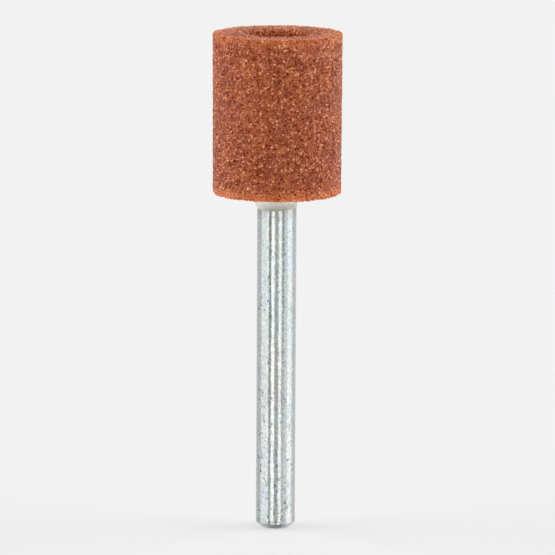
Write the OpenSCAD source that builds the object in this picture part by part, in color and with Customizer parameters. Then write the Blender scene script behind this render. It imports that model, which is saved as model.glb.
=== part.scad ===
// Mounted point: a pressed abrasive cylinder cemented onto a round steel shank.
// The shank end stands at the origin, its axis is +Z and the abrasive head is on top.
// All sizes are in millimetres, all angles in degrees.

/* [Shank] */
// Diameter of the shank, the size that a collet grips
shank_d = 3.175; // [2.35:0.005:4]
// Open length of the shank, from its end face to the underside of the head
shank_free_l = 27.25; // [12:0.25:60]
// Length of the shank inside the head
shank_embed_l = 7.5; // [4:0.25:9]
// Height of the 45 degree chamfer on both ends of the shank
shank_chamfer = 0.42; // [0.1:0.02:0.8]
// Distance from the lower edge of the cement bead to the first keying groove
groove_start = 0.3; // [0.2:0.05:2]
// Distance from one keying groove to the next
groove_pitch = 1.9; // [1.2:0.1:3]
// Width of a keying groove
groove_w = 0.8; // [0.3:0.05:1.1]
// Depth of a keying groove
groove_depth = 0.22; // [0.05:0.01:0.5]

/* [Abrasive head] */
// Diameter of the head at its working end
head_d = 10.4; // [8:0.1:20]
// Length of the head
head_l = 13; // [11:0.25:32]
// Draft of the side, which lets the pressed head leave its die
head_draft = 0.2; // [0:0.05:3]
// Radius of the outer edges at both ends of the head
head_edge_r = 0.15; // [0.1:0.05:1]

/* [Recess in the working end] */
// Diameter of the recess at its mouth
recess_d = 5.4; // [3:0.1:7]
// Depth of the recess
recess_depth = 2.4; // [1.6:0.1:4]
// Draft of the recess wall
recess_draft = 4; // [0:0.5:10]
// Radius of the lip around the mouth
recess_lip_r = 0.4; // [0.1:0.05:0.6]
// Radius between the wall and the floor
recess_floor_r = 0.8; // [0.2:0.05:0.9]

/* [Cement joint] */
// Gap between shank and bore, all around, that the cement fills
cement_gap = 0.2; // [0.1:0.02:0.6]
// Gap between the inner end of the shank and the floor of the bore
cement_end_gap = 0.4; // [0.1:0.05:1]
// Height of the cement bead below the head
bead_h = 1.3; // [0.8:0.05:2]
// Width of the cement bead at the underside of the head, measured from the shank
bead_w = 1; // [0.65:0.05:1.6]
// How far the bead's surface is hollowed below a straight cone
bead_hollow = 0.18; // [0.02:0.01:0.2]

/* [Hidden] */
$fn = 128;
arc_steps = 8;
shank_r = shank_d / 2;
shank_l = shank_free_l + shank_embed_l;
groove_z = shank_free_l - bead_h + groove_start;
groove_room = shank_l - shank_chamfer - groove_z - groove_w;
groove_count = max(0, floor(groove_room / groove_pitch) + 1);
bore_r = shank_r + cement_gap;
bore_l = shank_embed_l + cement_end_gap;
recess_floor_z = head_l - recess_depth;

// Radius of the head's side and of the recess wall at height z above the underside
function side_r(z) = head_d / 2 - (head_l - z) * tan(head_draft);
function wall_r(z) = recess_d / 2 - (head_l - z) * tan(recess_draft);

// Centre of the arc that rounds a corner, at height z: r inside the side or r behind the wall
function side_arc(z, r) = [side_r(z) - r / cos(head_draft), z];
function wall_arc(z, r) = [wall_r(z) + r / cos(recess_draft), z];

// Points of an arc about a centre, from one angle to another
function arc(centre, r, from, to) = [
    for (i = [0:arc_steps]) let (a = from + (to - from) * i / arc_steps) centre + r * [cos(a), sin(a)]
];

// Half section of the shank: chamfered ends, and grooves along the bonded end
module shank_section() {
    end_r = shank_r - shank_chamfer;
    difference() {
        polygon([
            [0, 0],
            [end_r, 0],
            [shank_r, shank_chamfer],
            [shank_r, shank_l - shank_chamfer],
            [end_r, shank_l],
            [0, shank_l]
        ]);
        for (i = [0:1:groove_count - 1])
            translate([shank_r - groove_depth, groove_z + i * groove_pitch])
                square([2 * groove_depth, groove_w]);
    }
}

// Half section of the head around its blind bore, with the underside at height 0
module head_section() {
    foot_arc = side_arc(head_edge_r, head_edge_r);
    rim_arc = side_arc(head_l - head_edge_r, head_edge_r);
    lip_arc = wall_arc(head_l - recess_lip_r, recess_lip_r);
    floor_arc = wall_arc(recess_floor_z + recess_floor_r, -recess_floor_r);
    polygon(concat(
        [[bore_r, 0]],
        arc(foot_arc, head_edge_r, -90, -head_draft),
        arc(rim_arc, head_edge_r, -head_draft, 90),
        arc(lip_arc, recess_lip_r, 90, 180 - recess_draft),
        arc(floor_arc, recess_floor_r, -recess_draft, -90),
        [[0, recess_floor_z], [0, bore_l], [bore_r, bore_l]]
    ));
}

// Half section of the bead: a cone under the head, hollowed by an arc through its two rims
module bead_section() {
    shank_rim = [shank_r, shank_free_l - bead_h];
    head_rim = [shank_r + bead_w, shank_free_l];
    slope = head_rim - shank_rim;
    arc_r = (slope * slope) / (8 * bead_hollow) + bead_hollow / 2;
    outward = [slope.y, -slope.x] / norm(slope);
    difference() {
        polygon([
            [0, shank_rim.y],
            shank_rim,
            head_rim,
            [0, head_rim.y]
        ]);
        translate((shank_rim + head_rim) / 2 + (arc_r - bead_hollow) * outward) circle(arc_r);
    }
}

// Half section of the cement: what fills the bore and the bead, less the shank
module cement_section() {
    difference() {
        union() {
            translate([0, shank_free_l]) square([bore_r, bore_l]);
            bead_section();
        }
        shank_section();
    }
}

// Drawn steel rod with a zinc finish
module shank() {
    color("#C4C8C7") rotate_extrude() shank_section();
}

// Brown aluminium oxide grains in a fired bond
module abrasive_head() {
    color("#A35E41") translate([0, 0, shank_free_l]) rotate_extrude() head_section();
}

// Set mineral cement between shank and head
module bonding_cement() {
    color("#BDB8AA") rotate_extrude() cement_section();
}

shank();
abrasive_head();
bonding_cement();
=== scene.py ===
"""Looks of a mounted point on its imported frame: pressed abrasive head, drawn steel shank and cement bead."""

import math

import bpy
import numpy as np
from mathutils import Matrix, Vector
from mathutils.kdtree import KDTree


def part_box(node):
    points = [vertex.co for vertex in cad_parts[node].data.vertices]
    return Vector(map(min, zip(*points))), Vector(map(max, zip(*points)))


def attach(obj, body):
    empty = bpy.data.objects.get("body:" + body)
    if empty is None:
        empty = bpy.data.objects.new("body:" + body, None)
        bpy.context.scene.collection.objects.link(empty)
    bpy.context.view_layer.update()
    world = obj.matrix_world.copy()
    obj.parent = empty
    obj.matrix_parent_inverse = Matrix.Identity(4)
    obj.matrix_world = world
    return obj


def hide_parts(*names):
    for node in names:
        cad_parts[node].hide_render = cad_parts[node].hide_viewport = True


bl_info = {
    "name": "Mounted point",
    "version": (1, 0, 0),
    "blender": (4, 5, 0),
    "location": "3D View > Sidebar > Mounted point",
    "description": "Builds the grain, metal and cement surfaces of a mounted point around its CAD frame",
    "category": "Object",
}

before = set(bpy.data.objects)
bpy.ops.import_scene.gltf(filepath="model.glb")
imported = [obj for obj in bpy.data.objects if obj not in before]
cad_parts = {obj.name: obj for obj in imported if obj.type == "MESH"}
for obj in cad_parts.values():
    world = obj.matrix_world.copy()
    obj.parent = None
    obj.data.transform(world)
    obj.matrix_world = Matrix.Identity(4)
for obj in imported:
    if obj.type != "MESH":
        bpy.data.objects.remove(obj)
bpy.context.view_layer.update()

MM = 0.001
TURN = 2 * math.pi

# Where the three CAD solids are, in metres
SHANK_LOW, SHANK_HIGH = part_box("shank")
HEAD_LOW, HEAD_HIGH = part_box("abrasive_head")
CEMENT_LOW, CEMENT_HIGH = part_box("bonding_cement")
SHANK_R = SHANK_HIGH.x
HEAD_R = HEAD_HIGH.x
UNDERSIDE_Z = HEAD_LOW.z
TOP_Z = HEAD_HIGH.z


def linear(code):
    """An sRGB hex colour as linear RGBA."""
    channels = [int(code[i : i + 2], 16) / 255 for i in (1, 3, 5)]
    return (*(c / 12.92 if c <= 0.04045 else ((c + 0.055) / 1.055) ** 2.4 for c in channels), 1.0)


def grey(level):
    """A linear grey."""
    return (level, level, level, 1.0)


def length(name, description, millimetres):
    """A length property that is written in millimetres."""
    return bpy.props.FloatProperty(
        name=name, description=description, default=millimetres * MM, unit="LENGTH", precision=5
    )


def angle(name, description, degrees):
    """An angle property that is written in degrees."""
    return bpy.props.FloatProperty(
        name=name, description=description, default=math.radians(degrees), subtype="ANGLE"
    )


def colour(name, description, code):
    """A colour property that is written as an sRGB hex value."""
    return bpy.props.FloatVectorProperty(
        name=name, description=description, default=linear(code), size=4, subtype="COLOR", min=0, max=1
    )


class HeadSettings(bpy.types.PropertyGroup):
    """Sizes and colours of the abrasive head."""

    draft: angle("Draft", "Taper of the side towards the shank", 0.2)
    edge_r: length("Edge radius", "Radius of the outer edges", 0.15)
    recess_d: length("Recess diameter", "Mouth of the recess in the working end", 5.4)
    recess_depth: length("Recess depth", "Depth of the recess", 2.4)
    recess_draft: angle("Recess draft", "Taper of the recess wall", 4)
    lip_r: length("Lip radius", "Radius around the mouth of the recess", 0.4)
    floor_r: length("Floor radius", "Radius between recess wall and floor", 0.8)
    bore_gap: length("Bore gap", "Gap between shank and bore, which the cement fills", 0.2)
    grain: length("Grain size", "Distance from one abrasive grain to the next", 0.26)
    relief: length("Grain relief", "Depth of the crevices between grains", 0.07)
    chip_r: length("Chip radius", "Radius of a large chip in an edge", 0.45)
    # Width of the painted orange glow along the edges
    glow: length("Edge glow", "How far the thin edges let light through", 1.05)
    dark: colour("Dark grain", "Red-brown of the darkest grains", "#A94B1D")
    brown: colour("Brown grain", "Orange-brown of most grains", "#B65925")
    light: colour("Light grain", "Paler brown of the clearer grains", "#CD7B49")
    # Painted highlight: the peach of glints painted into the grains' colour
    pale: colour("Glint", "Peach of facets that catch the light", "#FFBC91")
    # The bond's red-brown, which also serves as painted shade in crevices and hollows
    crevice: colour("Crevice", "Red-brown of the bond between grains", "#903812")
    # Painted light: orange painted along the edges and the lip of the recess
    edge: colour("Edge", "Orange of light that comes through the edges", "#E88042")


class ShankSettings(bpy.types.PropertyGroup):
    """Sizes and colours of the shank."""

    chamfer: length("Chamfer", "Chamfer on both ends", 0.42)
    groove_start: length("First groove", "Distance from the bead's lower edge to the first groove", 0.3)
    groove_pitch: length("Groove pitch", "Distance from groove to groove", 1.9)
    groove_w: length("Groove width", "Width of a keying groove", 0.8)
    groove_depth: length("Groove depth", "Depth of a keying groove", 0.22)
    ripple: length("Ripple", "Height of the unevenness in the plating", 0.004)
    pit_r: length("Pit radius", "Radius of a large pit in the plating", 0.14)
    # Painted reflection: the steel just below the bead is painted a duller warm grey, for the head's brown
    # underside that it mirrors
    painted_reflection_l: length("Haze length", "How far wiped cement dulls the steel below the bead", 0.9)
    painted_reflection: colour("Haze", "Warm grey of steel that wiped cement has dulled", "#B0ABA5")
    dull: colour("Dull specks", "Grey of small dull specks in the zinc", "#B5BBBD")
    pit: colour("Pit", "Grey of the dirt in pits and scratches", "#4A4E4A")


class CementSettings(bpy.types.PropertyGroup):
    """Sizes and colours of the cement."""

    rise: length("Rise", "How far the bead's lower edge stands back on average", 0.2)
    lean: length("Lean", "How much further the bead runs down on its full side", 0.07)
    stone: colour("Cement", "Chalky white of the set cement", "#FBFBF9")
    # Greenish grey where the bead runs out thin, partly painted shade along its lower edge and up its front
    thin: colour("Lower edge", "Greenish grey of the bead's thin lower edge", "#8C947A")


class StageSettings(bpy.types.PropertyGroup):
    """Camera, floor and background."""

    distance: length("Distance", "Camera distance from the aim point", 380)
    elevation: angle("Elevation", "Camera height above the horizon", 9.64)
    frame_w: length("Frame width", "Width of the picture at the aim point", 44.62)
    aim_x: length("Aim across", "Aim point to the right of the axis", 0.08)
    aim_z: length("Aim height", "Aim point above the floor", 20.41)
    roll: angle("Roll", "Turn of the camera about its view", 0.28)
    pale: colour("Background", "Pale grey of the surroundings", "#F2F2F2")
    board: colour("Floor", "Pale grey of the board under the shank", "#E4E4E4")


def arc(centre, radius, start, end, step):
    """Points on an arc in the half section, from one angle to another, both in degrees."""
    count = max(2, round(abs(math.radians(end - start)) * radius / step))
    angles = np.radians(np.linspace(start, end, count + 1))
    return np.column_stack((centre[0] + radius * np.cos(angles), centre[1] + radius * np.sin(angles)))


def joined(stretches):
    """Half section of points and arcs laid end to end, with the step on the line between each two of them."""
    points = [np.atleast_2d(stretches[0])]
    for step, stretch in zip(stretches[1::2], stretches[2::2]):
        stretch = np.atleast_2d(stretch)
        start = points[-1][-1]
        line = stretch[0] - start
        count = max(1, round(float(np.hypot(*line)) / step))
        points.append(start + line * np.arange(1, count)[:, None] / count)
        points.append(stretch)
    return np.concatenate(points)


def outward(section):
    """Normals of a half section whose solid lies to the left of its run."""
    run = np.gradient(section, axis=0)
    run /= np.hypot(run[:, 0], run[:, 1])[:, None]
    return np.column_stack((run[:, 1], -run[:, 0]))


def smooth(value):
    """A rise from 0 to 1 with soft ends."""
    value = np.clip(value, 0, 1)
    return value * value * (3 - 2 * value)


def lattice_noise(rng, cells, u, v):
    """Smooth noise from -1 to 1 over u and v in 0..1, drawn on a lattice that closes on itself along u."""
    across, along = cells
    values = rng.uniform(-1, 1, (across, along + 1))
    x, y = u * across, np.clip(v, 0, 0.9999) * along
    i, j = np.floor(x).astype(int), np.floor(y).astype(int)
    fx, fy = smooth(x - i), smooth(y - j)
    low = values[i % across, j] * (1 - fx) + values[(i + 1) % across, j] * fx
    high = values[i % across, j + 1] * (1 - fx) + values[(i + 1) % across, j + 1] * fx
    return low * (1 - fy) + high * fy


def rings(section, segments):
    """Radius, height and angle of every vertex of a spun half section, as arrays of rings by segments."""
    turn = np.tile(np.arange(segments) * TURN / segments, (len(section), 1))
    radius = np.tile(section[:, :1], (1, segments))
    height = np.tile(section[:, 1:], (1, segments))
    return radius, height, turn


def spun_object(name, radius, height, turn, smooth_faces):
    """Closed mesh of rings whose first and last lie on the axis."""
    count, segments = radius.shape
    places = np.stack((radius * np.cos(turn), radius * np.sin(turn), height), -1)
    vertices = np.concatenate((places[:1, 0], places[1:-1].reshape(-1, 3), places[-1:, 0]))
    index = 1 + np.arange((count - 2) * segments).reshape(count - 2, segments)
    after = np.roll(index, -1, axis=1)
    quads = np.stack((index[:-1], after[:-1], after[1:], index[1:]), -1).reshape(-1, 4)
    last = len(vertices) - 1
    first_cap = [(0, int(b), int(a)) for a, b in zip(index[0], after[0])]
    last_cap = [(last, int(a), int(b)) for a, b in zip(index[-1], after[-1])]
    mesh = bpy.data.meshes.new(name)
    mesh.from_pydata(vertices.tolist(), [], quads.tolist() + first_cap + last_cap)
    mesh.polygons.foreach_set("use_smooth", [smooth_faces] * len(mesh.polygons))
    mesh.update()
    piece = bpy.data.objects.new(name, mesh)
    bpy.context.scene.collection.objects.link(piece)
    return piece


def store(piece, name, values):
    """Writes one number per vertex, given rings by segments, for the material to read."""
    flat = np.concatenate((values[0, :1], values[1:-1].ravel(), values[-1, :1])).astype(np.float32)
    piece.data.attributes.new(name, "FLOAT", "POINT").data.foreach_set("value", flat)


def dress(piece, material, node):
    """Gives a piece its material and puts it in the place of its CAD solid."""
    piece.data.materials.append(material)
    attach(piece, "root")
    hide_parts(node)


def add(tree, kind, inputs=None, stops=None, **settings):
    """Adds a node, sets its properties and colour stops, and fills or links its inputs."""
    node = tree.nodes.new(kind)
    for name, value in settings.items():
        setattr(node, name, value)
    for key, value in (inputs or {}).items():
        if isinstance(value, bpy.types.NodeSocket):
            tree.links.new(value, node.inputs[key])
        else:
            node.inputs[key].default_value = value
    for i, (place, shade) in enumerate(stops or []):
        element = node.color_ramp.elements[i] if i < 2 else node.color_ramp.elements.new(1.0)
        element.position = place
        element.color = shade
    return node


def new_material(name):
    """An empty node material and its tree."""
    material = bpy.data.materials.new(name)
    material.use_nodes = True
    material.node_tree.nodes.clear()
    return material, material.node_tree


def vitrified_alumina(s):
    """Brown fused aluminium oxide in a fired bond."""
    # Angular grains under a thin glassy bond, orange-brown, with painted highlights: pale sparks are painted
    # on some grains and facets. Painted light: orange is painted along the thin edges, where light comes
    # through them
    patch_size, facet_size, facet_depth = 1.8 * MM, 0.19 * MM, 0.03 * MM
    material, tree = new_material("Vitrified_brown_alumina")
    place = add(tree, "ShaderNodeTexCoord").outputs["Object"]
    tone = add(tree, "ShaderNodeAttribute", attribute_name="grain_tone").outputs["Fac"]
    gloss = add(tree, "ShaderNodeAttribute", attribute_name="grain_gloss").outputs["Fac"]
    # Crevices take the bond's colour, partly as painted shade; deep hollows and chips take it as painted shade
    crevice = add(tree, "ShaderNodeAttribute", attribute_name="crevice").outputs["Fac"]
    # Where orange is painted along the edges as painted light
    edge = add(tree, "ShaderNodeAttribute", attribute_name="edge").outputs["Fac"]
    # Painted highlight: the few palest grains take the glint's peach
    shades = [(0.0, s.dark), (0.5, s.brown), (0.97, s.light), (0.985, s.pale)]
    grains = add(tree, "ShaderNodeValToRGB", {"Fac": tone}, shades).outputs["Color"]
    # Slow drift between darker and paler patches, several grains wide
    drift = add(tree, "ShaderNodeTexNoise", {"Vector": place, "Scale": 1 / patch_size, "Detail": 3.0})
    tints = [(0.36, linear("#D7C1B2")), (0.64, linear("#F2E6D0"))]
    patches = add(tree, "ShaderNodeValToRGB", {"Fac": drift.outputs["Fac"]}, tints).outputs["Color"]
    tinted = add(
        tree,
        "ShaderNodeMix",
        {"Factor": 1.0, "A": grains, "B": patches},
        data_type="RGBA",
        blend_type="MULTIPLY",
    ).outputs["Result"]
    bonded_and_shaded = add(
        tree, "ShaderNodeMix", {"Factor": crevice, "A": tinted, "B": s.crevice}, data_type="RGBA"
    ).outputs["Result"]
    # Painted light: orange glow painted along the thin edges and the lip
    with_painted_glow = add(
        tree, "ShaderNodeMix", {"Factor": edge, "A": bonded_and_shaded, "B": s.edge}, data_type="RGBA"
    ).outputs["Result"]
    # Painted glints smaller than a grain, strong on few facets and faint on many
    facets = add(tree, "ShaderNodeTexVoronoi", {"Vector": place, "Scale": 1 / facet_size}).outputs
    few = [(0.56, grey(0.0)), (0.92, grey(1.0))]
    some = add(tree, "ShaderNodeValToRGB", {"Fac": facets["Color"]}, few).outputs["Color"]
    middles = [(0.2, grey(1.0)), (0.6, grey(0.0))]
    dots = add(tree, "ShaderNodeValToRGB", {"Fac": facets["Distance"]}, middles).outputs["Color"]
    painted_glint = add(tree, "ShaderNodeMath", {0: some, 1: dots}, operation="MULTIPLY").outputs["Value"]
    with_painted_glints = add(
        tree, "ShaderNodeMix", {"Factor": painted_glint, "A": with_painted_glow, "B": s.pale}, data_type="RGBA"
    ).outputs["Result"]
    rough = add(
        tree, "ShaderNodeMapRange", {"Value": gloss, "To Min": 0.2, "To Max": 0.6}
    ).outputs["Result"]
    broken = add(
        tree, "ShaderNodeBump", {"Height": facets["Distance"], "Strength": 0.5, "Distance": facet_depth}
    ).outputs["Normal"]
    shader = add(
        tree,
        "ShaderNodeBsdfPrincipled",
        {"Base Color": with_painted_glints, "Roughness": rough, "IOR": 1.5, "Normal": broken},
    )
    add(tree, "ShaderNodeOutputMaterial", {"Surface": shader.outputs["BSDF"]})
    return material


def zinc_plated_steel(s):
    """Drawn steel rod with a clear-passivated zinc finish."""
    # A soft mirror with ragged lengthwise streaks, duller blooms, dirt in its pits and a faint film of blue,
    # green and violet. Real drawing lines and zinc crystals are finer than the picture can show, so streaks,
    # specks and crystals are drawn a pixel or two wide
    film_size, bloom_size = 2.2 * MM, 0.6 * MM
    speck_size, crystal_size, streak_size = 0.17 * MM, 0.14 * MM, 0.12 * MM
    relief = 0.02 * MM
    material, tree = new_material("Zinc_plated_drawn_steel")
    place = add(tree, "ShaderNodeTexCoord").outputs["Object"]
    drawn = add(tree, "ShaderNodeMapping", {"Vector": place, "Scale": (1.0, 1.0, 0.08)}).outputs["Vector"]
    pulled = add(tree, "ShaderNodeMapping", {"Vector": place, "Scale": (1.0, 1.0, 0.75)}).outputs["Vector"]
    pit = add(tree, "ShaderNodeAttribute", attribute_name="pit").outputs["Fac"]
    # Painted reflection of the head's brown underside, just below the bead
    wiped = add(tree, "ShaderNodeAttribute", attribute_name="painted_reflection").outputs["Fac"]
    film = add(tree, "ShaderNodeTexNoise", {"Vector": place, "Scale": 1 / film_size, "Detail": 3.0})
    tints = [(0.3, "#E2EDF9"), (0.45, "#DBE4E4"), (0.56, "#E9ECE8"), (0.7, "#DAD8E3")]
    tints = [(at, linear(code)) for at, code in tints]
    zinc = add(tree, "ShaderNodeValToRGB", {"Fac": film.outputs["Fac"]}, tints).outputs["Color"]
    specks = add(
        tree,
        "ShaderNodeTexNoise",
        {"Vector": pulled, "Scale": 1 / speck_size, "Detail": 3.0, "Roughness": 0.7},
    ).outputs["Fac"]
    spread = [(0.3, grey(1.0)), (0.62, grey(0.0))]
    dull = add(tree, "ShaderNodeValToRGB", {"Fac": specks}, spread).outputs["Color"]
    mottled = add(
        tree, "ShaderNodeMix", {"Factor": dull, "A": zinc, "B": s.dull}, data_type="RGBA"
    ).outputs["Result"]
    # Painted reflection: duller warm grey below the bead
    with_painted_reflection = add(
        tree, "ShaderNodeMix", {"Factor": wiped, "A": mottled, "B": s.painted_reflection}, data_type="RGBA"
    ).outputs["Result"]
    metal = add(
        tree, "ShaderNodeMix", {"Factor": pit, "A": with_painted_reflection, "B": s.pit}, data_type="RGBA"
    ).outputs["Result"]
    bloom = add(
        tree, "ShaderNodeTexNoise", {"Vector": place, "Scale": 1 / bloom_size, "Detail": 4.0}
    ).outputs["Fac"]
    rough = add(
        tree,
        "ShaderNodeMapRange",
        {"Value": bloom, "From Min": 0.35, "From Max": 0.65, "To Min": 0.07, "To Max": 0.14},
    ).outputs["Result"]
    crystals = add(
        tree, "ShaderNodeTexNoise", {"Vector": place, "Scale": 1 / crystal_size, "Detail": 2.0}
    ).outputs["Fac"]
    skin = add(
        tree, "ShaderNodeBump", {"Height": crystals, "Strength": 0.12, "Distance": relief}
    ).outputs["Normal"]
    streaks = add(
        tree, "ShaderNodeTexNoise", {"Vector": drawn, "Scale": 1 / streak_size, "Detail": 3.0}
    ).outputs["Fac"]
    grooved = add(
        tree, "ShaderNodeBump", {"Height": streaks, "Strength": 0.15, "Distance": relief, "Normal": skin}
    ).outputs["Normal"]
    shader = add(
        tree,
        "ShaderNodeBsdfPrincipled",
        {"Base Color": metal, "Metallic": 1.0, "Roughness": rough, "Normal": grooved},
    )
    add(tree, "ShaderNodeOutputMaterial", {"Surface": shader.outputs["BSDF"]})
    return material


def mineral_cement(s):
    """Set mineral cement, wiped off by hand."""
    # Matt, chalky and mottled, and greenish grey where it runs out thin on the steel, partly painted shade
    # that is strongest at the front
    mottle_size, sand_depth = 0.35 * MM, 0.03 * MM
    material, tree = new_material("Mineral_cement")
    place = add(tree, "ShaderNodeTexCoord").outputs["Object"]
    thin = add(tree, "ShaderNodeAttribute", attribute_name="thin").outputs["Fac"]
    mottle = add(
        tree, "ShaderNodeTexNoise", {"Vector": place, "Scale": 1 / mottle_size, "Detail": 5.0}
    ).outputs["Fac"]
    clouds = [(0.3, linear("#EEEDE8")), (0.7, linear("#FFFFFF"))]
    cloud = add(tree, "ShaderNodeValToRGB", {"Fac": mottle}, clouds).outputs["Color"]
    chalk = add(
        tree, "ShaderNodeMix", {"Factor": thin, "A": s.stone, "B": s.thin}, data_type="RGBA"
    ).outputs["Result"]
    body = add(
        tree,
        "ShaderNodeMix",
        {"Factor": 1.0, "A": chalk, "B": cloud},
        data_type="RGBA",
        blend_type="MULTIPLY",
    ).outputs["Result"]
    sand = add(
        tree, "ShaderNodeBump", {"Height": mottle, "Strength": 0.4, "Distance": sand_depth}
    ).outputs["Normal"]
    shader = add(
        tree,
        "ShaderNodeBsdfPrincipled",
        {"Base Color": body, "Roughness": 0.85, "IOR": 1.5, "Normal": sand},
    )
    add(tree, "ShaderNodeOutputMaterial", {"Surface": shader.outputs["BSDF"]})
    return material


class MOUNTED_POINT_OT_head(bpy.types.Operator):
    """Builds the pressed abrasive head out of faceted grains"""

    bl_idname = "mounted_point.head"
    bl_label = "Abrasive head"

    SEED = 11
    SEGMENTS = 384
    # Distance between rings on the side and in the recess, and on the two flat faces
    FINE = 0.09 * MM
    FLAT = 1.5 * FINE
    # How far vertices and grains are shaken out of line, and the distance between rows of grains, in spacings
    VERTEX_SHAKE = 0.3
    GRAIN_SHAKE = 0.38
    ROW = 0.87
    # Slopes of a grain: of its top, and to both sides of the ridge on it
    TILT = 0.26
    RIDGE = 0.36
    # Width of a crevice in grain sizes, how rare level grains are, and heights in shares of the relief
    CREVICE = 0.28
    LEVEL_RARE = 5
    LEAST_CREVICE = 0.2
    LEAST_SUNK = 0.3
    RAISED = 0.3
    HOLLOW = 0.8
    # Chips along the edges, with the size of the smallest and the depth in shares of their radius
    CHIPS = 200
    SMALL_CHIP = 0.25
    CHIP_DEPTH = 0.36
    # Share of the bond's colour in crevices, where it is partly painted shade, and in hollows, where it is
    # painted shade, and of the painted orange glow at each edge
    CREVICE_BOND_AND_SHADE = 0.18
    HOLLOW_SHADE = 0.32
    UPPER_GLOW = 0.36
    LOWER_GLOW = 0.64
    LIP_GLOW = 0.36

    def section(self, s):
        """Half section from the middle of the bore's floor, round the outside, to that of the recess."""
        bore_r = SHANK_R + s.bore_gap
        bore_top = CEMENT_HIGH.z
        floor_z = TOP_Z - s.recess_depth
        draft, wall = math.degrees(s.draft), math.degrees(s.recess_draft)
        whole = TOP_Z - UNDERSIDE_Z

        def side_arc(z):
            return HEAD_R - (TOP_Z - z) * math.tan(s.draft) - s.edge_r / math.cos(s.draft), z

        def wall_arc(z, r):
            mouth = s.recess_d / 2 - (TOP_Z - z) * math.tan(s.recess_draft)
            return mouth + r / math.cos(s.recess_draft), z

        return joined(
            [
                (0.0, bore_top),
                whole,
                (bore_r, bore_top),
                whole,
                (bore_r, UNDERSIDE_Z),
                self.FLAT,
                arc(side_arc(UNDERSIDE_Z + s.edge_r), s.edge_r, -90, -draft, self.FINE),
                self.FINE,
                arc(side_arc(TOP_Z - s.edge_r), s.edge_r, -draft, 90, self.FINE),
                self.FINE,
                arc(wall_arc(TOP_Z - s.lip_r, s.lip_r), s.lip_r, 90, 180 - wall, self.FINE),
                self.FINE,
                arc(wall_arc(floor_z + s.floor_r, -s.floor_r), s.floor_r, -wall, -90, self.FINE),
                self.FLAT,
                (0.0, floor_z),
            ]
        )

    def grain_seats(self, section, grain, rng):
        """Middles of the grains: rows nearly one grain apart along the section, shaken out of line."""
        run = np.concatenate(([0], np.cumsum(np.hypot(*np.diff(section, axis=0).T))))
        shake = self.GRAIN_SHAKE
        seats = []
        for k, start in enumerate(np.arange(0, run[-1], grain * self.ROW)):
            count = max(3, round(TURN * np.interp(start, run, section[:, 0]) / grain))
            turn = (np.arange(count) + 0.5 * (k % 2) + rng.uniform(-shake, shake, count)) * TURN / count
            along = np.clip(start + rng.uniform(-shake, shake, count) * grain, 0, run[-1])
            r, z = np.interp(along, run, section[:, 0]), np.interp(along, run, section[:, 1])
            seats.append(np.column_stack((r * np.cos(turn), r * np.sin(turn), z)))
        return np.concatenate(seats)

    def chips(self, s, rng, places):
        """Depth of the chips: half lie in the lower edge, the others in the upper edge and the lip."""
        depth = np.zeros(places.shape[:2])
        lower = (HEAD_R, UNDERSIDE_Z)
        rims = [(HEAD_R, TOP_Z), lower, lower, (s.recess_d / 2 + s.lip_r / 2, TOP_Z)]
        for i in range(self.CHIPS):
            r, z = rims[i % len(rims)]
            turn = rng.uniform(0, TURN)
            size = s.chip_r * (self.SMALL_CHIP + (1 - self.SMALL_CHIP) * rng.uniform() ** 2)
            away = np.linalg.norm(places - (r * math.cos(turn), r * math.sin(turn), z), axis=-1)
            depth = np.maximum(depth, self.CHIP_DEPTH * size * smooth(1 - away / size))
        return depth

    def execute(self, context):
        s = context.scene.mounted_point_head
        rng = np.random.default_rng(self.SEED)
        section = self.section(s)
        normal = outward(section)
        radius, height, turn = rings(section, self.SEGMENTS)
        shake = self.VERTEX_SHAKE
        turn = turn + rng.uniform(-shake, shake, turn.shape) * TURN / self.SEGMENTS
        places = np.stack((radius * np.cos(turn), radius * np.sin(turn), height), -1)

        # Each vertex belongs to its nearest grain, and lies near a border if another grain is about as near
        seats = self.grain_seats(section, s.grain, rng)
        count = len(seats)
        tree = KDTree(count)
        for i, seat in enumerate(seats):
            tree.insert(seat, i)
        tree.balance()
        found = [tree.find_n(place, 2) for place in places.reshape(-1, 3)]
        grain = np.array([near[1] for near, _ in found]).reshape(turn.shape)
        border = np.array([other[2] - near[2] for near, other in found]).reshape(turn.shape)

        # A grain is a tilted roof with a crevice at its border. Most are sunk, and the die has pressed flat
        # what would stand out of the head
        offset = places - seats[grain]
        tilt = rng.normal(0, self.TILT, (count, 3))
        ridge = rng.normal(0, self.RIDGE, (count, 3))
        sunk = 1 - rng.uniform(0, 1, count) ** self.LEVEL_RARE
        sunk = sunk * rng.uniform(self.LEAST_SUNK, 1, count) * s.relief
        deep = rng.uniform(self.LEAST_CREVICE, 1, count)
        gap = 1 - smooth(border / (self.CREVICE * s.grain))
        top = (tilt[grain] * offset).sum(-1) - np.abs((ridge[grain] * offset).sum(-1)) - sunk[grain]
        relief = np.minimum(self.RAISED * s.relief + top - gap * s.relief * deep[grain], 0)
        relief -= self.chips(s, rng, places)

        # The bore is left as it was pressed
        shown = (radius > SHANK_R + 1.5 * s.bore_gap) | (height > CEMENT_HIGH.z + s.bore_gap)
        relief = np.where(shown, relief, 0)
        radius = np.maximum(radius + relief * normal[:, :1], 0)
        height = height + relief * normal[:, 1:]

        piece = spun_object("pressed_head", radius, height, turn, False)
        store(piece, "grain_tone", rng.uniform(0, 1, count)[grain])
        store(piece, "grain_gloss", rng.uniform(0, 1, count)[grain])
        # Painted shade: the bond's red-brown in crevices, partly the bond's own colour, and in deep hollows
        # and chips
        hollow = smooth(-relief / s.relief - self.HOLLOW)
        store(piece, "crevice", np.clip(self.CREVICE_BOND_AND_SHADE * gap + self.HOLLOW_SHADE * hollow, 0, 1))

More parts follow.
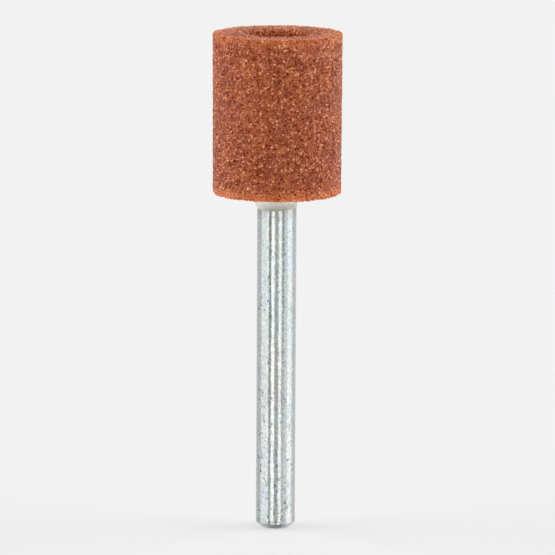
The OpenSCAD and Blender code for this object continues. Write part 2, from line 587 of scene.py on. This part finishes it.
        # Painted light: orange is painted along the outer edges and the lip of the recess, for light that
        # comes through them and falls on their rounding
        from_end = np.minimum(np.abs(TOP_Z - height), np.abs(height - UNDERSIDE_Z))
        outside = smooth((radius - HEAD_R + 1.5 * s.glow) / s.glow)
        inside = smooth((s.recess_d / 2 + s.lip_r - radius) / s.lip_r)
        upper = height > (TOP_Z + UNDERSIDE_Z) / 2
        share = np.where(upper, self.UPPER_GLOW, self.LOWER_GLOW) * outside + self.LIP_GLOW * inside
        store(piece, "edge", share * (1 - smooth(from_end / s.glow)))
        dress(piece, vitrified_alumina(s), "abrasive_head")
        return {"FINISHED"}


def shank_section(s, fine, coarse):
    """Half section of the shank, from its end face up to its end inside the head."""
    end_r = SHANK_R - s.chamfer
    groove_r = SHANK_R - s.groove_depth
    parts = [(0.0, SHANK_LOW.z), fine, (end_r, SHANK_LOW.z), fine, (SHANK_R, SHANK_LOW.z + s.chamfer), fine]
    z = CEMENT_LOW.z + s.groove_start
    while z + s.groove_w < SHANK_HIGH.z - s.chamfer:
        top = z + s.groove_w
        for place in ((SHANK_R, z), (groove_r, z), (groove_r, top), (SHANK_R, top)):
            parts += [place, coarse]
        z += s.groove_pitch
    parts += [(SHANK_R, SHANK_HIGH.z - s.chamfer), coarse, (end_r, SHANK_HIGH.z), coarse, (0.0, SHANK_HIGH.z)]
    return joined(parts)


class MOUNTED_POINT_OT_shank(bpy.types.Operator):
    """Builds the drawn, zinc plated shank with its chamfered end"""

    bl_idname = "mounted_point.shank"
    bl_label = "Shank"

    SEED = 23
    SEGMENTS = 192
    # Distance between rings on the open shank and inside the head
    FINE = 0.07 * MM
    COARSE = 1.0 * MM
    # Mean depth of the plating's surface, and its unevenness: cells around and along the shank with their
    # height, all in ripples. Lengthwise drawing marks come first, then soft bumps, then crystals in two sizes
    SKIN = 1.6
    UNEVEN = [((64, 12), 0.25), ((34, 120), 0.2), ((72, 130), 0.45), ((96, 280), 0.48)]
    # Pits: how many, the share that starts a new group, how much they crowd towards the free end, how far
    # apart they lie in a group, the smallest in shares of the largest, how rare large ones are, how much
    # larger they are at the free end, how slanted, how strong, and their depth in shares of the radius
    PITS = 1050
    NEW_GROUP = 0.5
    PIT_CROWDING = 2.6
    GROUP_TURN = 0.1
    GROUP_ALONG = 0.2 * MM
    SMALL_PIT = 0.38
    LARGE_RARE = 4
    PIT_GROWTH = 0.15
    PIT_SLANT = 1.5
    PIT_STRENGTH = (0.4, 1)
    PIT_DEPTH = 0.02
    # Scratches: how many, how much they crowd, their width and step in pit radii, how many steps they have
    # from least to one above most, how they lean and bend, and how strong they are
    SCRATCHES = 20
    SCRATCH_CROWDING = 3
    SCRATCH_R = 0.5
    SCRATCH_STEPS = (5, 13)
    LEAN = 0.35
    BEND = 0.025
    SCRATCH_STRENGTH = (0.35, 0.65)
    # How steep the sides of pits and scratches are, and how strong the painted reflection of the head below
    # the bead is
    STEEP = 1.4
    PAINTED_REFLECTION = 0.45

    def away_around(self, turn, at):
        """Distance around the shank from an angle, the short way."""
        return SHANK_R * ((turn - at + math.pi) % TURN - math.pi)

    def pits(self, s, rng, turn, height):
        """Irregular pits, closer together and larger towards the free end, half of them beside another."""
        marks = np.zeros(turn.shape)
        at, z = 0.0, 0.0
        for _ in range(self.PITS):
            if rng.uniform() < self.NEW_GROUP:
                at, z = rng.uniform(0, TURN), CEMENT_LOW.z * rng.uniform() ** self.PIT_CROWDING
            else:
                at, z = at + rng.normal(0, self.GROUP_TURN), z + rng.normal(0, self.GROUP_ALONG)
            size = s.pit_r * (self.SMALL_PIT + (1 - self.SMALL_PIT) * rng.uniform() ** self.LARGE_RARE)
            size *= 1 + self.PIT_GROWTH * (1 - z / CEMENT_LOW.z)
            across = self.away_around(turn, at)
            along = height - z
            slant = across * math.cos(rng.uniform(0, math.pi)) + along * rng.uniform(0.3, 1)
            away = np.hypot(np.hypot(across, along), rng.uniform(0, self.PIT_SLANT) * slant)
            strength = rng.uniform(*self.PIT_STRENGTH)
            marks = np.maximum(marks, smooth(self.STEEP * (1 - away / size)) * strength)
        return marks

    def scratches(self, s, rng, turn, height):
        """Curved scratches from a collet, most of them near the free end."""
        marks = np.zeros(turn.shape)
        width = self.SCRATCH_R * s.pit_r
        for _ in range(self.SCRATCHES):
            at, z = rng.uniform(0, TURN), CEMENT_LOW.z * rng.uniform() ** self.SCRATCH_CROWDING
            lean, bend = rng.normal(0, self.LEAN), rng.normal(0, self.BEND)
            strength = rng.uniform(*self.SCRATCH_STRENGTH)
            for _ in range(rng.integers(*self.SCRATCH_STEPS)):
                away = np.hypot(self.away_around(turn, at), height - z)
                marks = np.maximum(marks, smooth(self.STEEP * (1 - away / width)) * strength)
                at += width * math.sin(lean) / SHANK_R
                z += width * math.cos(lean)
                lean += bend
        return marks

    def execute(self, context):
        s = context.scene.mounted_point_shank
        rng = np.random.default_rng(self.SEED)
        radius, height, turn = rings(shank_section(s, self.FINE, self.COARSE), self.SEGMENTS)
        u, v = turn / TURN, height / SHANK_HIGH.z
        uneven = sum(share * lattice_noise(rng, cells, u, v) for cells, share in self.UNEVEN)
        skin = (self.SKIN + uneven) * s.ripple

        # The end face is plain, and marks run out on the chamfer
        wall = radius > SHANK_R - s.chamfer
        pit = self.pits(s, rng, turn, height)
        pit = np.maximum(pit, self.scratches(s, rng, turn, height))
        pit = np.where(wall, pit * smooth(height / s.chamfer), 0)
        radius = np.where(wall, radius - skin - self.PIT_DEPTH * s.pit_r * pit, radius)

        piece = spun_object("drawn_shank", radius, height, turn, True)
        store(piece, "pit", pit)
        # Painted reflection: the steel is painted duller warm grey just below the bead
        store(piece, "painted_reflection", self.PAINTED_REFLECTION * smooth(1 - (CEMENT_LOW.z - height) / s.painted_reflection_l))
        dress(piece, zinc_plated_steel(s), "shank")
        return {"FINISHED"}


class MOUNTED_POINT_OT_cement(bpy.types.Operator):
    """Builds the cement that fills the bore and ends in an uneven bead"""

    bl_idname = "mounted_point.cement"
    bl_label = "Cement"

    SEED = 37
    SEGMENTS = 160
    BEAD_RINGS = 24
    COARSE = 1.0 * MM
    # Lattice cells around and along the bead, of the waves in its lower edge and the lumps on it
    WAVES = (22, 1)
    LUMPS = (36, 7)
    # Width of the bead in shares of the CAD bead: its mean, and how much the full side has more
    MEAN_W = 0.7
    FULL_W = 0.5
    # Least thickness on the steel, height of lumps and waves, and how far the front runs down
    SKIN = 0.03 * MM
    LUMP = 0.03 * MM
    WAVE = 0.03 * MM
    FRONT_RUN = 0.13 * MM
    # Angle by which the full side is turned from -X, and how narrow the front is
    FULL_TURN = 0.1
    FRONT_NARROW = 4
    # Share of the bead's height over which it gets thicker, how far the lowest edge stays thin, and how
    # strongly the thin edge is painted greenish grey, partly as painted shade: everywhere, more at the front,
    # and in waves
    THIN_UP = 0.35
    THIN_LOW = 1.1
    THIN = 0.02
    FRONT_THIN = 0.75
    WAVE_THIN = 0.12

    def execute(self, context):
        s = context.scene.mounted_point_cement
        rng = np.random.default_rng(self.SEED)
        bore_r = SHANK_R + context.scene.mounted_point_head.bore_gap
        inside = shank_section(context.scene.mounted_point_shank, self.COARSE, self.COARSE)
        inside = inside[inside[:, 1] > CEMENT_LOW.z][::-1]
        rise = np.linspace(0, 1, self.BEAD_RINGS)
        bead_z = CEMENT_LOW.z + rise * (UNDERSIDE_Z - CEMENT_LOW.z)
        bead = np.column_stack((np.full(self.BEAD_RINGS, SHANK_R), bead_z))
        filled = [(bore_r, UNDERSIDE_Z), (bore_r, CEMENT_HIGH.z), (0.0, CEMENT_HIGH.z)]
        radius, height, turn = rings(np.concatenate((inside, bead, filled)), self.SEGMENTS)
        rows = slice(len(inside), len(inside) + self.BEAD_RINGS)

        # The bead is wider and hangs lower on the -X side, and runs down a little at the front, the -Y side
        around = turn[rows]
        up = rise[:, None] + 0 * around
        full = -np.cos(around + self.FULL_TURN)
        front = (0.5 - 0.5 * np.sin(around)) ** self.FRONT_NARROW
        wave = lattice_noise(rng, self.WAVES, around / TURN, 0 * up)
        lumps = lattice_noise(rng, self.LUMPS, around / TURN, up) * np.sin(np.pi * up)
        width = (CEMENT_HIGH.x - SHANK_R) * (self.MEAN_W + self.FULL_W * full)
        radius[rows] += np.maximum(width * up**2 + self.LUMP * lumps, 0) + self.SKIN * smooth(8 * up)
        back = s.rise - s.lean * full - self.FRONT_RUN * front - self.WAVE * wave
        height[rows] += back * (1 - up)

        piece = spun_object("cement_bead", radius, height, turn, True)
        # Greenish grey on the bead's thin lower edge, partly painted shade, strongest at the front
        thin = np.zeros(turn.shape)
        low = self.THIN_LOW - up / (self.THIN_UP * (1 + front))
        thin[rows] = np.clip(low * (self.THIN + self.FRONT_THIN * front + self.WAVE_THIN * wave), 0, 1)
        store(piece, "thin", thin)
        dress(piece, mineral_cement(s), "bonding_cement")
        return {"FINISHED"}


class MOUNTED_POINT_OT_stage(bpy.types.Operator):
    """Sets up the pale floor, the light tent and the camera"""

    bl_idname = "mounted_point.stage"
    bl_label = "Stage"

    # Half the floor's width in metres, and the share of plain background in what the camera sees of it,
    # which keeps the shadow faint
    FLOOR = 3.0
    PLAIN = 0.5
    # Brightness of the tent by the angle from the camera in degrees, with the left side negative: dim around
    # the camera, then a strip box, a dark flag and a bright wall on each side, and a dimmer back
    TENT = [
        (-180, 0.8),
        (-150, 0.7),
        (-130, 0.62),
        (-104, 0.66),
        (-94, 1.1),
        (-64, 1.08),
        (-57, 1.22),
        (-48, 1.18),
        (-42, 0.3),
        (-32, 0.28),
        (-28, 1.46),
        (-13, 1.46),
        (-9, 0.54),
        (10, 0.54),
        (16, 1.34),
        (28, 1.34),
        (34, 0.4),
        (44, 0.45),
        (49, 0.86),
        (66, 0.92),
        (72, 1.31),
        (98, 1.29),
        (107, 0.86),
        (130, 0.68),
        (150, 0.72),
        (180, 0.8),
    ]
    # Light that comes in below the two flags by the same angle, and where it starts and is full, as the
    # sine of the angle to the horizon
    UNDER_FLAGS = [(-43, 0), (-40, 0.3), (-34, 0.3), (-30, 0), (32, 0), (36, 0.42), (43, 0.42), (47, 0)]
    FLAG_LOW = -0.165
    FLAG_END = -0.21
    # Tint of the tent in front, up to an angle to both sides, and elsewhere
    FRONT_TINT = "#FFFEFA"
    TINT = "#FFFFFF"
    FRONT_TO = 46
    # Brightness of the tent straight up and straight down, and where it goes over into the walls, from
    # 0 straight down to 1 straight up
    ROOF = 0.26
    GROUND = 0.34
    CLOSED = [(0.02, 1.0), (0.09, 0.0), (0.75, 0.0), (0.95, 1.0)]
    # Far lights with azimuth from the camera and elevation in degrees, and strength
    LIGHTS = [("Left_light", -101, 33, 1.5), ("Right_light", 101, 33, 1.5), ("Back_light", 180, 36, 0.3)]
    LIGHT_WIDTH = 58

    def tent(self, scene, pale):
        """World light: a pale tent, which metal mirrors. The camera itself sees the plain background."""
        world = bpy.data.worlds.new("Light_tent")
        world.use_nodes = True
        tree = world.node_tree
        tree.nodes.clear()
        direction = add(tree, "ShaderNodeTexCoord").outputs["Generated"]
        axes = add(tree, "ShaderNodeSeparateXYZ", {"Vector": direction}).outputs
        front = add(tree, "ShaderNodeMath", {0: axes["Y"], 1: -1.0}, operation="MULTIPLY").outputs["Value"]
        around = add(tree, "ShaderNodeMath", {0: axes["X"], 1: front}, operation="ARCTAN2").outputs["Value"]
        share = add(
            tree, "ShaderNodeMapRange", {"Value": around, "From Min": -math.pi, "From Max": math.pi}
        ).outputs["Result"]
        levels = []
        for degrees, level in self.TENT:
            tint = linear(self.FRONT_TINT if abs(degrees) < self.FRONT_TO else self.TINT)
            levels.append((0.5 + degrees / 360, [level * c for c in tint]))
        flagged = add(tree, "ShaderNodeValToRGB", {"Fac": share}, levels).outputs["Color"]
        gaps = [(0.5 + degrees / 360, grey(level)) for degrees, level in self.UNDER_FLAGS]
        gap = add(tree, "ShaderNodeValToRGB", {"Fac": share}, gaps).outputs["Color"]
        under = add(
            tree,
            "ShaderNodeMapRange",
            {"Value": axes["Z"], "From Min": self.FLAG_LOW, "From Max": self.FLAG_END},
        ).outputs["Result"]
        walls = add(
            tree,
            "ShaderNodeMix",
            {"Factor": under, "A": flagged, "B": gap},
            data_type="RGBA",
            blend_type="ADD",
        ).outputs["Result"]
        rise = add(tree, "ShaderNodeMapRange", {"Value": axes["Z"], "From Min": -1.0}).outputs["Result"]
        ends = [(0.45, grey(self.GROUND)), (0.55, grey(self.ROOF))]
        end = add(tree, "ShaderNodeValToRGB", {"Fac": rise}, ends).outputs["Color"]
        closed = [(height, grey(level)) for height, level in self.CLOSED]
        closing = add(tree, "ShaderNodeValToRGB", {"Fac": rise}, closed).outputs["Color"]
        inside = add(
            tree, "ShaderNodeMix", {"Factor": closing, "A": walls, "B": end}, data_type="RGBA"
        ).outputs["Result"]
        light = add(tree, "ShaderNodeBackground", {"Color": inside}).outputs["Background"]
        plain = add(tree, "ShaderNodeBackground", {"Color": pale}).outputs["Background"]
        ray = add(tree, "ShaderNodeLightPath").outputs
        seen = add(
            tree,
            "ShaderNodeMath",
            {0: ray["Is Camera Ray"], 1: ray["Is Transmission Ray"]},
            operation="MAXIMUM",
        ).outputs["Value"]
        both = add(tree, "ShaderNodeMixShader", {0: seen, 1: light, 2: plain})
        add(tree, "ShaderNodeOutputWorld", {"Surface": both.outputs["Shader"]})
        scene.world = world

    def floor(self, scene, board, pale):
        """Plain pale floor under the shank, with a faint shadow. Reflections look past it into the tent."""
        reach = self.FLOOR
        mesh = bpy.data.meshes.new("floor")
        corners = [(-reach, -reach, 0), (reach, -reach, 0), (reach, reach, 0), (-reach, reach, 0)]
        mesh.from_pydata(corners, [], [(0, 1, 2, 3)])
        plane = bpy.data.objects.new("floor", mesh)
        scene.collection.objects.link(plane)
        # Even pale grey that takes the shadow
        material, tree = new_material("Matt_pale_board")
        lit = add(tree, "ShaderNodeBsdfDiffuse", {"Color": board}).outputs["BSDF"]
        plain = add(tree, "ShaderNodeEmission", {"Color": pale}).outputs["Emission"]
        ray = add(tree, "ShaderNodeLightPath").outputs["Is Camera Ray"]
        share = add(tree, "ShaderNodeMath", {0: ray, 1: self.PLAIN}, operation="MULTIPLY").outputs["Value"]
        both = add(tree, "ShaderNodeMixShader", {0: share, 1: lit, 2: plain})
        add(tree, "ShaderNodeOutputMaterial", {"Surface": both.outputs["Shader"]})
        mesh.materials.append(material)
        plane.visible_glossy = False

    def far_light(self, scene, name, azimuth, elevation, energy):
        """Broad, far light. Its azimuth is counted from the camera's side."""
        data = bpy.data.lights.new(name, "SUN")
        data.energy = energy
        data.angle = math.radians(self.LIGHT_WIDTH)
        lamp = bpy.data.objects.new(name, data)
        a, e = math.radians(azimuth), math.radians(elevation)
        away = Vector((math.sin(a) * math.cos(e), -math.cos(a) * math.cos(e), math.sin(e)))
        lamp.rotation_euler = away.to_track_quat("Z", "Y").to_euler()
        scene.collection.objects.link(lamp)

    def camera(self, scene, s):
        """Camera at the photograph's viewing angle."""
        data = bpy.data.cameras.new("Camera")
        data.sensor_width = 36.0
        data.lens = data.sensor_width * s.distance / s.frame_w
        data.clip_start, data.clip_end = 0.01, 10.0
        camera = bpy.data.objects.new("Camera", data)
        scene.collection.objects.link(camera)
        back = Vector((0, -math.cos(s.elevation), math.sin(s.elevation)))
        camera.location = Vector((s.aim_x, 0, s.aim_z)) + back * s.distance
        view = (-back).to_track_quat("-Z", "Y").to_matrix() @ Matrix.Rotation(s.roll, 3, "Z")
        camera.rotation_euler = view.to_euler()
        scene.camera = camera

    def execute(self, context):
        scene = context.scene
        s = scene.mounted_point_stage
        scene.view_settings.view_transform = "Standard"
        self.tent(scene, s.pale)
        self.floor(scene, s.board, s.pale)
        for light in self.LIGHTS:
            self.far_light(scene, *light)
        self.camera(scene, s)
        return {"FINISHED"}


PIECES = [
    ("mounted_point.head", "mounted_point_head", HeadSettings),
    ("mounted_point.shank", "mounted_point_shank", ShankSettings),
    ("mounted_point.cement", "mounted_point_cement", CementSettings),
    ("mounted_point.stage", "mounted_point_stage", StageSettings),
]


class MOUNTED_POINT_PT_panel(bpy.types.Panel):
    """Lists the pieces and their settings"""

    bl_label = "Mounted point"
    bl_idname = "MOUNTED_POINT_PT_panel"
    bl_space_type = "VIEW_3D"
    bl_region_type = "UI"
    bl_category = "Mounted point"

    def draw(self, context):
        for operator, group, settings in PIECES:
            column = self.layout.column(align=True)
            column.operator(operator)
            for name in settings.__annotations__:
                column.prop(getattr(context.scene, group), name)


CLASSES = [
    HeadSettings,
    ShankSettings,
    CementSettings,
    StageSettings,
    MOUNTED_POINT_OT_head,
    MOUNTED_POINT_OT_shank,
    MOUNTED_POINT_OT_cement,
    MOUNTED_POINT_OT_stage,
    MOUNTED_POINT_PT_panel,
]


def register():
    """Adds the classes, and their settings to the scene."""
    for cls in CLASSES:
        bpy.utils.register_class(cls)
    for _, group, settings in PIECES:
        setattr(bpy.types.Scene, group, bpy.props.PointerProperty(type=settings))


def unregister():
    """Takes the settings and the classes away again."""
    for _, group, _ in PIECES:
        delattr(bpy.types.Scene, group)
    for cls in reversed(CLASSES):
        bpy.utils.unregister_class(cls)


def main():
    """Builds every piece and the stage."""
    register()
    bpy.ops.mounted_point.head()
    bpy.ops.mounted_point.shank()
    bpy.ops.mounted_point.cement()
    bpy.ops.mounted_point.stage()


if __name__ == "__main__":
    main()
